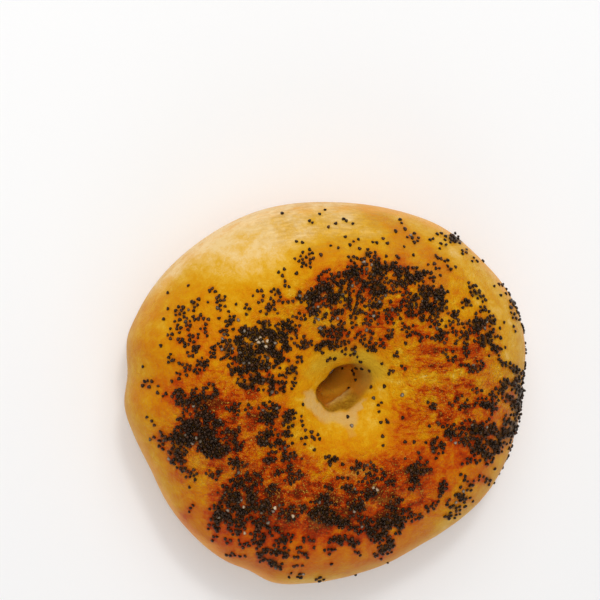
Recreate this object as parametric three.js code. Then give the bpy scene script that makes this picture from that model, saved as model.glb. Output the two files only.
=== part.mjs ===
// A bagel: one puffed ring of bread with an uneven hole, lying on its flat underside.
//
// Millimetres, +Z up. The origin is on the surface that the bagel lies on, under the middle of its
// outline. Directions are degrees around the ring, counter-clockwise from +X. Section angles are
// degrees around the ring's section: 0 at the outer side, 90 on the crest, 180 in the hole and 270
// underneath.

import * as THREE from 'three';
import { ParametricGeometry } from 'three/addons/geometries/ParametricGeometry.js';

// Driving dimensions of the ring
const SIDE_RADIUS = 54.7;        // from the ring's middle to its outer side, before the swells
const HEIGHT = 39;               // from the underside to the crest
const WAIST_HEIGHT = 17;         // where the side bulges out furthest
const CLOSING_RADIUS = -2;       // where the dough would end inwards without the hole: past the middle
const DOME_ROUNDNESS = 2.15;     // superellipse exponent above the waist: 2 is round, more is squarer
const BASE_ROUNDNESS = 2.5;      // the same below the waist
const BASE_SPREAD = 1.3;         // how far the round underside would sink if it didn't lie flat

// Driving dimensions of the hole
const LIP_RADIUS = 7;
const LIP_HEIGHT = 34;           // where the hole's wall meets the crust in a lip
const LIP_SOFTNESS = 0.5;        // how far the lip's edge is rounded
const LIP_WORN = { direction: 20, spread: 48, amount: 2.6 };  // where the lip is rounder
const NECK_RADIUS = 4.8;         // the hole at its narrowest
const NECK_HEIGHT = 13;
const HOLE_MIDDLE = { x: 1, y: 5.1 };         // middle of the hole at the waist
const HOLE_LEAN = { x: 0.093, y: -0.093 };    // sideways shift of the hole for each millimetre up
const HOLE_OVAL = { direction: 23, amount: 1.2 };

// Where the dough has swelled out or stayed in: direction, spread and amount
const SIDE_SWELLS = [
  { direction: 25, spread: 19, amount: 4.2 },
  { direction: 54, spread: 8, amount: 0.8 },
  { direction: 88, spread: 14, amount: -1.5 },
  { direction: 127, spread: 16, amount: -0.8 },
  { direction: 160, spread: 24, amount: 2.4 },
  { direction: 204, spread: 9, amount: -2 },
  { direction: 252, spread: 12, amount: 0.7 },
  { direction: 295, spread: 18, amount: -3.6 },
  { direction: 332, spread: 14, amount: 0.7 },
  { direction: 2, spread: 4, amount: -0.8 },
  { direction: 40, spread: 7, amount: -0.5 },
  { direction: 163, spread: 3, amount: 0.4 },
  { direction: 174, spread: 4.5, amount: -1.3 },
  { direction: 183, spread: 4, amount: 0.4 },
  { direction: 190, spread: 8, amount: -0.4 },
  { direction: 211, spread: 5, amount: 0.3 },
  { direction: 222, spread: 10, amount: -0.5 },
  { direction: 246, spread: 4, amount: -0.8 },
  { direction: 254, spread: 4, amount: 0.5 },
  { direction: 290, spread: 6, amount: 0.6 },
];
const HOLE_SWELLS = [
  { direction: 29, spread: 12, amount: -0.2 },
  { direction: 74, spread: 15, amount: -0.3 },
  { direction: 152, spread: 17, amount: -1.6 },
  { direction: 192, spread: 8, amount: -0.3 },
  { direction: 214, spread: 12, amount: -0.9 },
  { direction: 262, spread: 10, amount: -0.3 },
  { direction: 284, spread: 9, amount: 0.3 },
  { direction: 345, spread: 18, amount: -1 },
];

// Broad lumps and dents of the crust: direction, section angle, the spread of each, and amount
const LUMPS = [
  { direction: 20, section: 70, along: 22, across: 22, amount: 0.9 },
  { direction: 62, section: 112, along: 14, across: 20, amount: -0.8 },
  { direction: 98, section: 60, along: 20, across: 16, amount: 0.6 },
  { direction: 135, section: 95, along: 16, across: 22, amount: -0.9 },
  { direction: 161, section: 22, along: 5, across: 20, amount: 0.8 },
  { direction: 185, section: 75, along: 20, across: 24, amount: 0.7 },
  { direction: 222, section: 50, along: 12, across: 18, amount: -0.8 },
  { direction: 247, section: 22, along: 4, across: 24, amount: -0.7 },
  { direction: 262, section: 100, along: 18, across: 18, amount: 0.6 },
  { direction: 300, section: 80, along: 14, across: 22, amount: -0.8 },
  { direction: 335, section: 60, along: 16, across: 20, amount: 0.7 },
];

// A fold of dough that runs down the wall of the hole
const FOLD = {
  start: { direction: 228, height: 32 },
  end: { direction: 336, height: 25 },
  halfWidth: 0.9,
  stand: 1.3,
};

// Facets: steps around the ring and around its section, closer together at the hole
const STEPS_AROUND = 96;
const STEPS_SECTION = 48;
const HOLE_CLOSENESS = 0.3;

const FULL_TURN = 2 * Math.PI;

// Signed difference of two directions in degrees, the short way round.
function turnBetween(direction, other) {
  const turn = direction - other;
  return turn - 360 * Math.round(turn / 360);
}

// A hump of height 1 that fades away over the given spread.
function hump(distance, spread) {
  return Math.exp(-0.5 * (distance / spread) ** 2);
}

// The larger of two lengths, with the corner between them rounded off.
function softLarger(length, other, softness) {
  return (length + other + Math.hypot(length - other, softness)) / 2;
}

// Sum of the swells at one direction.
function swellAt(direction, swells) {
  return swells.reduce(
    (sum, swell) => sum + swell.amount * hump(turnBetween(direction, swell.direction), swell.spread),
    0,
  );
}

// Sum of the lumps at one place on the crust. They fade out below the waist.
function lumpAt(direction, section) {
  const fade = Math.max(0, Math.sin(THREE.MathUtils.degToRad(section)));
  return fade * LUMPS.reduce(
    (sum, lump) => sum + lump.amount
      * hump(turnBetween(direction, lump.direction), lump.along)
      * hump(section - lump.section, lump.across),
    0,
  );
}

// Height of the section: a superellipse over the waist, and a squarer one under it, cut off flat.
function sectionHeight(across, isUpper) {
  const roundness = isUpper ? DOME_ROUNDNESS : BASE_ROUNDNESS;
  const rise = (1 - Math.abs(across) ** roundness) ** (1 / roundness);
  return isUpper
    ? WAIST_HEIGHT + (HEIGHT - WAIST_HEIGHT) * rise
    : Math.max(0, WAIST_HEIGHT - (WAIST_HEIGHT + BASE_SPREAD) * rise);
}

// How far the fold stands out of the hole's wall. Its crest falls steeply at first.
function foldAt(direction, height) {
  const length = FOLD.end.direction - FOLD.start.direction;
  const along = THREE.MathUtils.euclideanModulo(direction - FOLD.start.direction, 360) / length;
  if (along > 1) return 0;
  const crest = THREE.MathUtils.lerp(FOLD.start.height, FOLD.end.height, Math.sqrt(along));
  return FOLD.stand * Math.sqrt(Math.sin(Math.PI * along)) * hump(height - crest, FOLD.halfWidth);
}

// Radius of the hole: an oval that flares up and down from its neck.
function holeRadius(direction, height) {
  const flare = (LIP_RADIUS - NECK_RADIUS) * ((height - NECK_HEIGHT) / (LIP_HEIGHT - NECK_HEIGHT)) ** 2;
  const turn = THREE.MathUtils.degToRad(2 * (direction - HOLE_OVAL.direction));
  const oval = HOLE_OVAL.amount * Math.cos(turn) + swellAt(direction, HOLE_SWELLS);
  return NECK_RADIUS + flare + oval * (NECK_RADIUS + flare) / LIP_RADIUS - foldAt(direction, height);
}

// A point of the crust, for 0 to 1 around the ring and 0 to 1 around its section.
function crustPoint(around, aroundSection, target) {
  const angle = FULL_TURN * around;
  const sectionAngle = FULL_TURN * aroundSection + HOLE_CLOSENESS * Math.sin(FULL_TURN * aroundSection);
  const direction = THREE.MathUtils.radToDeg(angle);
  const section = THREE.MathUtils.radToDeg(sectionAngle);
  const across = Math.cos(sectionAngle);
  const isUpper = section < 180;

  const side = SIDE_RADIUS + swellAt(direction, SIDE_SWELLS);
  const lump = lumpAt(direction, section);
  const height = sectionHeight(across, isUpper) + lump * Math.sin(sectionAngle);
  const dough = (side + CLOSING_RADIUS) / 2 + (side - CLOSING_RADIUS) / 2 * across + lump * across;
  const worn = LIP_WORN.amount * hump(turnBetween(direction, LIP_WORN.direction), LIP_WORN.spread);
  const radius = softLarger(dough, holeRadius(direction, height), LIP_SOFTNESS + worn);

  const nearHole = 1 - ((1 + across) / 2) ** 2;
  const shiftX = (HOLE_MIDDLE.x + HOLE_LEAN.x * (height - WAIST_HEIGHT)) * nearHole;
  const shiftY = (HOLE_MIDDLE.y + HOLE_LEAN.y * (height - WAIST_HEIGHT)) * nearHole;
  target.set(radius * Math.cos(angle) + shiftX, radius * Math.sin(angle) + shiftY, height);
}

// The whole ring, moved so that the middle of its outline is over the origin.
function makeRing() {
  const ring = new ParametricGeometry(crustPoint, STEPS_AROUND, STEPS_SECTION);
  ring.computeBoundingBox();
  const middle = ring.boundingBox.getCenter(new THREE.Vector3());
  return ring.translate(-middle.x, -middle.y, -ring.boundingBox.min.z);
}

const crust = new THREE.MeshStandardMaterial({
  name: 'baked_crust',
  color: 0xc8861c,
  roughness: 0.5,
  metalness: 0,
});

const bagel = new THREE.Mesh(makeRing(), crust);
bagel.name = 'bagel';

const part = new THREE.Group();
part.add(bagel);

export default part;
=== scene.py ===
"""A poppy seed bagel: its baked crust, its seeds, and the floor, light and camera around it.

Shapes are worked out in millimetres and put into their meshes in metres. Directions are degrees
around the ring, counter-clockwise from +X. Section angles are degrees around the ring's section: 0 at
the outer side, 90 on the crest, 180 in the hole and 270 underneath.
"""
import math

import bpy
import numpy as np
from mathutils import Matrix, Vector
from mathutils.bvhtree import BVHTree


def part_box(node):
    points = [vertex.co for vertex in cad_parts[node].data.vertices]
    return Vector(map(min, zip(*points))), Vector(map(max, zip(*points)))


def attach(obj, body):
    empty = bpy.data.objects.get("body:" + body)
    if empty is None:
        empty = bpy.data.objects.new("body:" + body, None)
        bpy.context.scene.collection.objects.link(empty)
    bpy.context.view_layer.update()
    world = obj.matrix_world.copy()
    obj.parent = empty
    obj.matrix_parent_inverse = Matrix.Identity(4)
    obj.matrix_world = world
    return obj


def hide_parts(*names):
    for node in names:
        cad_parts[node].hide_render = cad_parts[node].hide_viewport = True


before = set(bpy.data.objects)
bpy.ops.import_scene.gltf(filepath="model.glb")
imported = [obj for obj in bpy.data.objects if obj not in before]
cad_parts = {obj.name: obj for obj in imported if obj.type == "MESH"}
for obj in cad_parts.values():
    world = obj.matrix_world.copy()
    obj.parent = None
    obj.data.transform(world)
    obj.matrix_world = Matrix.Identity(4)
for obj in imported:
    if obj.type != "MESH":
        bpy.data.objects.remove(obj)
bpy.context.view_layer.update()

MM = 0.001

# ----- Driving dimensions of the dough, in millimetres, as in the solid that the crust replaces

SIDE_RADIUS = 54.7
HEIGHT = 39
WAIST_HEIGHT = 17
CLOSING_RADIUS = -2
DOME_ROUNDNESS = 2.15
BASE_ROUNDNESS = 2.5
BASE_SPREAD = 1.3

LIP_RADIUS = 7
LIP_HEIGHT = 34
LIP_SOFTNESS = 0.5
LIP_WORN = (20, 48, 2.6)  # where the lip is rounder: direction, spread, amount
NECK_RADIUS = 4.8
NECK_HEIGHT = 13
HOLE_MIDDLE = (1.0, 5.1)
HOLE_LEAN = (0.093, -0.093)
HOLE_OVAL_DIRECTION = 23
HOLE_OVAL = 1.2

# direction, spread, amount
SIDE_SWELLS = [
    (25, 19, 4.2), (54, 8, 0.8), (88, 14, -1.5), (127, 16, -0.8), (160, 24, 2.4), (204, 9, -2.0),
    (252, 12, 0.7), (295, 18, -3.6), (332, 14, 0.7), (2, 4, -0.8), (40, 7, -0.5), (163, 3, 0.4),
    (174, 4.5, -1.3), (183, 4, 0.4), (190, 8, -0.4), (211, 5, 0.3), (222, 10, -0.5), (246, 4, -0.8),
    (254, 4, 0.5), (290, 6, 0.6),
]
HOLE_SWELLS = [
    (29, 12, -0.2), (74, 15, -0.3), (152, 17, -1.6), (192, 8, -0.3), (214, 12, -0.9), (262, 10, -0.3),
    (284, 9, 0.3), (345, 18, -1.0),
]

# direction, section angle, spread along the ring, spread across it, amount
LUMPS = [
    (20, 70, 22, 22, 0.9), (62, 112, 14, 20, -0.8), (98, 60, 20, 16, 0.6), (135, 95, 16, 22, -0.9),
    (161, 22, 5, 20, 0.8), (185, 75, 20, 24, 0.7), (222, 50, 12, 18, -0.8), (247, 22, 4, 24, -0.7),
    (262, 100, 18, 18, 0.6), (300, 80, 14, 22, -0.8), (335, 60, 16, 20, 0.7),
]

# How far the hole reaches past the dough where its wall begins and is full: at first, and more for each
# millimetre that the lip is worn
WALL_FROM = (-0.4, 0.3)
WALL_TO = (0.9, 1.2)

FOLD_START = (228, 32.0)  # direction, height
FOLD_END = (336, 25.0)
FOLD_HALF_WIDTH = 0.9
FOLD_STAND = 1.3

# The crust's grid: steps around the ring and around its section, closer on top and in the hole
CRUST_AROUND = 520
CRUST_SECTION = 184
CLOSER_IN_HOLE = 0.2
CLOSER_ON_TOP = 0.35

# ----- Where the bagel is seen from

# Places on its shown face are given in millimetres right of and above its middle, on the plane through
# the middle that faces the viewer.
VIEW_DISTANCE = 550
VIEW_TILT = 13  # off the vertical
VIEW_SIDE = 135  # towards this direction
VIEW_SHOWN_WIDTH = 168.35  # width of the picture at the bagel's middle
VIEW_MIDDLE = (7.0, -25.8)  # where the bagel's middle is seen, from the picture's middle
SENSOR_WIDTH = 36
CLIP_FROM_TO = (0.01, 20)  # metres


def hump(distance, spread):
    """A hump of height 1 that fades away over the spread, a bell curve."""
    return np.exp(-0.5 * (distance / spread) ** 2)


def turn_between(direction, other):
    """Signed difference of two directions in degrees, the short way round."""
    turn = direction - other
    return turn - 360 * np.round(turn / 360)


def soft_larger(length, other, softness):
    """The larger of two lengths, with the corner between them rounded off by a hyperbola."""
    return (length + other + np.hypot(length - other, softness)) / 2


def smooth_step(low, high, value):
    """0 under low and 1 over high, with 3t^2 - 2t^3 between them."""
    t = np.clip((value - low) / (high - low), 0, 1)
    return t * t * (3 - 2 * t)


def unit(vectors):
    """The vectors at length 1."""
    return vectors / np.linalg.norm(vectors, axis=-1, keepdims=True)


NOISE_SHIFT = 137.3  # keeps the lattice's corner away from the origin
NOISE_GAIN = 1.6


def grain_noise(points, size, seed):
    """Smooth random relief between about -1 and 1, with features of the given size.

    Every corner of a cubic lattice has a random slope. A point adds up its eight corners' slopes times
    its offset from each corner, blended with 6t^5 - 15t^4 + 10t^3 along each axis.
    """
    draws = np.random.default_rng(seed)
    shuffle = draws.permutation(256)
    slopes = unit(draws.normal(size=(256, 3)))
    place = np.asarray(points) / size + NOISE_SHIFT
    corner = np.floor(place).astype(int)
    inside = place - corner
    blend = inside ** 3 * (inside * (inside * 6 - 15) + 10)
    total = np.zeros(place.shape[:-1])
    for step in np.ndindex(2, 2, 2):
        x, y, z = np.moveaxis(corner + step, -1, 0)
        slope = slopes[shuffle[(shuffle[(shuffle[x & 255] + y) & 255] + z) & 255]]
        weight = np.prod(np.where(step, blend, 1 - blend), axis=-1)
        total += weight * np.sum(slope * (inside - step), axis=-1)
    return total * NOISE_GAIN


def layered_noise(points, layers):
    """Sum of noises, each with its strength, size and seed."""
    return sum(strength * grain_noise(points, size, seed) for strength, size, seed in layers)


# ----- The crust's shape


def swell_at(direction, swells):
    """Sum of bell curves around the ring."""
    return sum(amount * hump(turn_between(direction, at), spread) for at, spread, amount in swells)


def lump_at(direction, section):
    """Sum of broad bell-shaped lumps and dents, fading out below the waist."""
    fade = np.clip(np.sin(np.radians(section)), 0, None)
    return fade * sum(
        amount * hump(turn_between(direction, at), along) * hump(section - up, across)
        for at, up, along, across, amount in LUMPS
    )


def section_height(across, is_upper):
    """Height of the section: a superellipse over the waist, and a squarer one under it, cut off flat.

    across runs from 1 at the outer side to -1 in the hole.
    """
    reach = np.abs(across)
    dome = (1 - reach ** DOME_ROUNDNESS) ** (1 / DOME_ROUNDNESS)
    base = (1 - reach ** BASE_ROUNDNESS) ** (1 / BASE_ROUNDNESS)
    upper = WAIST_HEIGHT + (HEIGHT - WAIST_HEIGHT) * dome
    lower = np.maximum(0, WAIST_HEIGHT - (WAIST_HEIGHT + BASE_SPREAD) * base)
    return np.where(is_upper, upper, lower)


def fold_line(direction):
    """Height of the fold's crest, falling by the square root of the way along it, and how full it is."""
    along = np.mod(direction - FOLD_START[0], 360) / (FOLD_END[0] - FOLD_START[0])
    middle = FOLD_START[1] + (FOLD_END[1] - FOLD_START[1]) * np.sqrt(np.clip(along, 0, 1))
    return middle, np.sqrt(np.clip(np.sin(np.pi * np.clip(along, 0, 1)), 0, None))


def fold_at(direction, height):
    """How far the fold stands out of the hole's wall: a bell curve across its crest."""
    middle, full = fold_line(direction)
    return FOLD_STAND * full * hump(height - middle, FOLD_HALF_WIDTH)


def hole_radius(direction, height):
    """Radius of the hole: an oval that flares up and down from its neck by the square of the height."""
    flare = (LIP_RADIUS - NECK_RADIUS) * ((height - NECK_HEIGHT) / (LIP_HEIGHT - NECK_HEIGHT)) ** 2
    turn = np.radians(2 * (direction - HOLE_OVAL_DIRECTION))
    oval = HOLE_OVAL * np.cos(turn) + swell_at(direction, HOLE_SWELLS)
    size = NECK_RADIUS + flare
    return size + oval * size / LIP_RADIUS - fold_at(direction, height)


def dough_surface(around, about_section):
    """A point of the dough for 0 to 1 around the ring and 0 to 1 around its section.

    The section is a superellipse between the side and the closing radius, carried around the ring. The
    hole is the larger of that section's radius and the hole's own.
    """
    angle = 2 * np.pi * around
    turn = 2 * np.pi * about_section
    section_angle = turn + CLOSER_IN_HOLE * np.sin(turn) + CLOSER_ON_TOP * (np.cos(turn) - 1)
    direction = np.degrees(angle)
    section = np.degrees(section_angle)
    across = np.cos(section_angle)

    side = SIDE_RADIUS + swell_at(direction, SIDE_SWELLS)
    lump = lump_at(direction, section)
    height = section_height(across, section < 180) + lump * np.sin(section_angle)
    dough = (side + CLOSING_RADIUS) / 2 + (side - CLOSING_RADIUS) / 2 * across + lump * across
    hole = hole_radius(direction, height)
    worn = swell_at(direction, [LIP_WORN])
    radius = soft_larger(dough, hole, LIP_SOFTNESS + worn)
    wall_from, wall_to = (start + more * worn for start, more in (WALL_FROM, WALL_TO))
    in_hole = smooth_step(wall_from, wall_to, hole - dough)

    near_hole = 1 - ((1 + across) / 2) ** 2
    x, y = (
        radius * way + (middle + lean * (height - WAIST_HEIGHT)) * near_hole
        for way, middle, lean in zip((np.cos(angle), np.sin(angle)), HOLE_MIDDLE, HOLE_LEAN)
    )
    return np.stack([x, y, height], -1), direction, section, in_hole


def grid_normals(points):
    """Outward unit normals of a closed grid: the cross product of its steps around and about."""
    along = np.roll(points, -1, 0) - np.roll(points, 1, 0)
    across = np.roll(points, -1, 1) - np.roll(points, 1, 1)
    return unit(np.cross(along, across))


SHOWN_HALF = 62  # the shown face fits in a square of this half width
SHOWN_STEP = 0.5


def shown_grid():
    """Middles of the shown face's square cells, as points at height 0."""
    steps = np.arange(-SHOWN_HALF, SHOWN_HALF, SHOWN_STEP) + SHOWN_STEP / 2
    return np.stack(np.meshgrid(steps, steps, [0.0], indexing="ij"), -1)[:, :, 0]


def shown_cells(spots):
    """Row and column of the cell that each place on the shown face is in."""
    cells = np.clip((spots + SHOWN_HALF) / SHOWN_STEP, 0, 2 * SHOWN_HALF / SHOWN_STEP - 1).astype(int)
    return cells[..., 0], cells[..., 1]


class Viewer:
    """Where the bagel is seen from, and the plane that its shown face is laid out on."""

    def __init__(self, middle):
        tilt, side = math.radians(VIEW_TILT), math.radians(VIEW_SIDE)
        back = np.array([
            math.sin(tilt) * math.cos(side), math.sin(tilt) * math.sin(side), math.cos(tilt),
        ])
        right, up = self.across(back)
        self.place = middle + VIEW_DISTANCE * back
        self.back = unit(self.place - (middle - right * VIEW_MIDDLE[0] - up * VIEW_MIDDLE[1]))
        self.right, self.up = self.across(self.back)

    @staticmethod
    def across(back):
        """Right and up in the picture: up is +Y as far as the picture's plane allows."""
        up = np.array([0.0, 1.0, 0.0])
        up = unit(up - back * (up @ back))
        return np.cross(up, back), up

    def seen(self, points):
        """Places on the shown face's plane, by perspective."""
        way = points - self.place
        scale = VIEW_DISTANCE / -(way @ self.back)
        return (way @ self.right) * scale - VIEW_MIDDLE[0], (way @ self.up) * scale - VIEW_MIDDLE[1]

    def ray(self, x, y):
        """Direction from the viewer through a place on the shown face's plane."""
        return unit(
            self.right * (x + VIEW_MIDDLE[0]) + self.up * (y + VIEW_MIDDLE[1]) - self.back * VIEW_DISTANCE
        )


# ----- How the crust has browned

# Laid on in strokes on the shown face. A stroke is an oval, and its weight is even in the middle and
# falls off towards its edge. Each draws the tone towards its own, so a later one lies over the earlier
# ones. In the tables after the first, the tone is an amount.
# right, up, half width, half height, tone, weight, and turn if it has one

BAKE_STROKES = [
    # golden top
    (0, 0, 44, 40, 0.42, 1),
    # pale shoulders: upper left, top, upper right
    (-22, 45, 30, 12, 0.05, 1, 24), (6, 50, 26, 8, 0.1, 0.95, -4), (-32, 42, 24, 4, 0, 0.9, 36),
    (4, 53, 22, 3, 0.05, 0.8, -4), (30, 43, 20, 7, 0.45, 0.9, -32), (31, 46, 20, 3.8, 0.14, 0.85, -34),
    (-36, 25, 11, 8, 0.41, 0.8, 40), (46, 28, 6, 14, 0.22, 0.9, 20),
    # pale sides: right, lower right, bottom, lower left, left
    (56, 8, 5, 26, 0.22, 0.95), (50, -18, 5, 14, 0.29, 0.85, -25), (42, -32, 5, 14, 0.23, 0.9, -45),
    (25, -46, 14, 3.4, 0.25, 0.8, 30), (0, -55.5, 30, 3.8, 0.23, 0.9, 2),
    (-48, -23, 16, 2.6, 0.28, 0.9, -62), (-38, -38.5, 10, 2.4, 0.25, 0.8, -45),
    (-39.5, -34, 2.2, 0.9, 0.8, 0.9, -50), (-54, 6, 3.5, 20, 0.29, 0.85, 4),
    # amber, left
    (-44, 1, 7, 9, 0.6, 0.85), (-50, 4, 3.5, 12, 0.45, 0.6), (-49, 0, 3, 5, 0.54, 0.6),
    (-38, 12, 8, 10, 0.5, 0.7), (-35, 15, 4, 4, 0.6, 0.6), (-46, 16, 4, 6, 0.36, 0.6),
    (-28, 7, 10, 9, 0.56, 0.7),
    # orange, over and right of the hole
    (14, 28, 20, 8, 0.53, 0.85, -4), (14, 37, 17, 4.5, 0.5, 0.75, -8), (7, 34, 4, 3.5, 0.62, 0.7),
    (21, 35, 4, 3, 0.62, 0.7, -10), (-7, 25, 5, 5, 0.4, 0.6), (22, 17, 12, 6, 0.59, 0.85, -5),
    (38, 13, 9, 8, 0.56, 0.8), (28, 11, 6, 7, 0.41, 0.7), (29, -1, 6, 4, 0.56, 0.6),
    (36, 2, 12, 9, 0.5, 0.85), (33, -8, 12, 6, 0.64, 0.85), (47, -6, 5, 7, 0.58, 0.8),
    (36, -18, 11, 9, 0.7, 0.9, 20), (21, -11, 4, 5, 0.66, 0.8), (43, -22, 4, 4, 0.5, 0.75),
    (24, -23, 8, 7, 0.77, 0.85),
    # orange, left of the hole
    (-20, -5, 10, 9, 0.6, 0.8), (-34, -4, 8, 7, 0.66, 0.8), (-34, -13, 10, 8, 0.68, 0.85, 20),
    (-44, -15, 4, 5, 0.62, 0.7), (-21, -14, 9, 8, 0.72, 0.85, 20), (-36, -23, 6, 7, 0.5, 0.85, 30),
    # brown band, under the hole
    (-20, -25, 12, 8, 0.77, 0.9, -20), (-4, -25, 11, 6, 0.7, 0.85), (13, -26, 10, 4, 0.76, 0.85),
    (-36, -34, 6, 6, 0.66, 0.75, -40), (-12, -27, 9, 6, 0.86, 0.8), (-10, -37, 14, 5, 0.97, 0.9),
    (6, -34, 10, 6, 0.85, 0.85), (14, -33, 7, 4, 0.95, 0.9, 10), (21, -32, 7, 5, 0.86, 0.9, 10),
    (28, -31, 6, 5, 0.72, 0.7, 30), (-24, -38, 9, 6, 0.72, 0.8, -30),
    (-24, -44.5, 9, 3.4, 0.66, 0.85, -25), (-2, -46, 20, 4.5, 0.64, 0.85), (0, -41.5, 18, 2.6, 0.75, 0.6),
    (-15, -48.5, 6, 2.6, 0.68, 0.7, -8), (13, -40, 5, 3, 0.66, 0.8), (24, -38.5, 7, 3.6, 0.56, 0.8, 32),
    (17, -49, 9, 2.4, 0.36, 0.7, 20), (0, -24, 30, 7, 0.76, 0.5),
    # yellow crust round the hole
    (5, 1, 15, 13, 0.3, 1, 20), (3, -10, 12, 5, 0.31, 0.95), (2, -15.8, 12, 3, 0.46, 0.7, 3),
    (-13, -1, 4, 5, 0.56, 0.7), (19, 16, 4, 4, 0.56, 0.6), (12, -20.5, 8, 2.6, 0.78, 0.75, -5),
    # The last of these, browner over the hole's upper rim, is painted shade.
    (4, 15.5, 16, 3, 0.58, 0.7), (5.5, 8.3, 4, 1, 0.52, 0.7),
]

# Where the crust has shrivelled into fine glossy wrinkles
WRINKLE_STROKES = [
    (0, 0, 44, 40, 0.3, 1), (34, 3, 15, 15, 1, 0.9), (-24, -12, 16, 16, 1, 0.9), (2, -27, 26, 10, 1, 0.9),
    (12, 25, 22, 10, 0.8, 0.9), (5, 0, 15, 15, 0.1, 1, 20), (-16, 42, 34, 12, 0.05, 0.9, 20),
]

# Where the crust has fine lines along the ring
LINE_STROKES = [
    (2, 46, 20, 7, 0.7, 1, -4), (28, 38, 10, 5, 0.6, 0.8, -30), (-2, -50, 20, 3, 0.6, 0.8),
]

# Where it has wavy streaks across the ring
STREAK_STROKES = [
    (33, 2, 13, 11, 0.5, 1), (20, -7, 7, 6, 0.4, 0.9, 20), (-32, -2, 9, 7, 0.25, 0.9),
]


def lay_strokes(x, y, strokes, tone=0.0):
    """Draws the tone towards each stroke's own by weight times exp(-d^4 / 2).

    d is the distance from the stroke's middle, in its half widths and half heights.
    """
    for at_x, at_y, wide, high, own, weight, *turn in strokes:
        turn = math.radians(sum(turn))
        cos, sin = math.cos(turn), math.sin(turn)
        along = ((x - at_x) * cos + (y - at_y) * sin) / wide
        over = ((y - at_y) * cos - (x - at_x) * sin) / high
        tone = tone + (own - tone) * weight * np.exp(-0.5 * (along ** 2 + over ** 2) ** 2)
    return tone


# Where the crust at the hole is torn and pale
CRUMB_STROKES = [
    (-3.8, -2.2, 1.4, 2.4, 0.9, 1, 20), (-2.4, -4.8, 2.6, 1.9, 0.95, 1, -38),
    (0.4, -6.6, 2.4, 1.5, 0.8, 1, -20), (3.4, -7, 2.6, 1.5, 0.85, 1, -8), (6.8, -7.6, 2.4, 2.4, 0.8, 1),
    (9.1, -4.2, 0.8, 3.2, 0.85, 1, -46), (7.4, -11.5, 1.3, 1.6, 0.42, 1),
]

# Where the crust beside the hole is yellow and pale
HALO_STROKES = [
    (12, 8, 5.5, 3.6, 0.8, 1, -25), (0, 8.2, 5, 2, 0.55, 1, 30),
]

# Noises: strength, size and seed. The first two tables are how far strokes' edges wander, with one noise
# to the right and one up.
STROKE_WANDER = [(2.2, 9, 11), (2.2, 9, 12)]
TORN_WANDER = [(1.2, 1.8, 21), (1.2, 1.8, 22)]
SIDE_WANDER = [(7, 7, 15)]
PATCHES = [(0.2, 6.5, 13), (0.14, 2.6, 14)]

# How squarely a place faces the viewer or down where the strokes or the underside begin and are full
FACES_FROM_TO = (-0.3, 0)
UNDER_FROM_TO = (0.75, 0.97)
SIDE_TONE = 0.3  # where the strokes don't reach
UNDERSIDE_TONE = 0.6
PATCHES_ON_SMOOTH = 0.35  # how strong the patches are where there are no wrinkles
SIDE_FROM_TO = (12, 27)  # section angles between which the pale side ends
SIDE_BROWNED = (172, 22, 0.9)  # where the side isn't pale: direction, spread, amount
SHADED_FROM_TO = (0.8, 2.5)  # depth in the hole where its wall turns darker
FOLD_FULL_FROM_TO = (0.1, 0.9)  # how full the fold is where it stays light
FOLD_UP_FROM_TO = (-0.6, 0.2)  # and how far above its crest
TORN_FROM_TO = (0.15, 0.95)  # the strokes' amount between which the crumb begins and is full
TORN_FACES_FROM_TO = (-0.05, 0.1)  # how squarely it faces the viewer there
FUNNEL_SIDE = (42, 33, 1)  # where the hole opens out paler: direction, spread, amount
FUNNEL_FROM_TO = (5, 13)  # and the depth where that ends
FOLD_CREST_HIGHLIGHT = (0.8, 0.6)  # how strongly the fold's crest is painted pale as a painted highlight, and its half width
SEED_HEAP_BLUR = 3  # cells over which the count of seeds is blurred, for the painted shade near and under them
# Seeds on a square millimetre where the painted shade near seeds, and the darker painted shade under heaped
# seeds, begin and are full
NEAR_SEED_SHADE_FROM_TO = (0.08, 0.6)
PAINTED_SEED_SHADE_FROM_TO = (0.55, 1.15)
NEAR_SEED_SHADE = 0.15  # how much browner the painted shade near seeds makes the crust


def wander(spots, points, noises):
    """The places moved to the right and up by a noise each."""
    return [spot + layered_noise(points, [noise]) for spot, noise in zip(spots, noises)]


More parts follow.
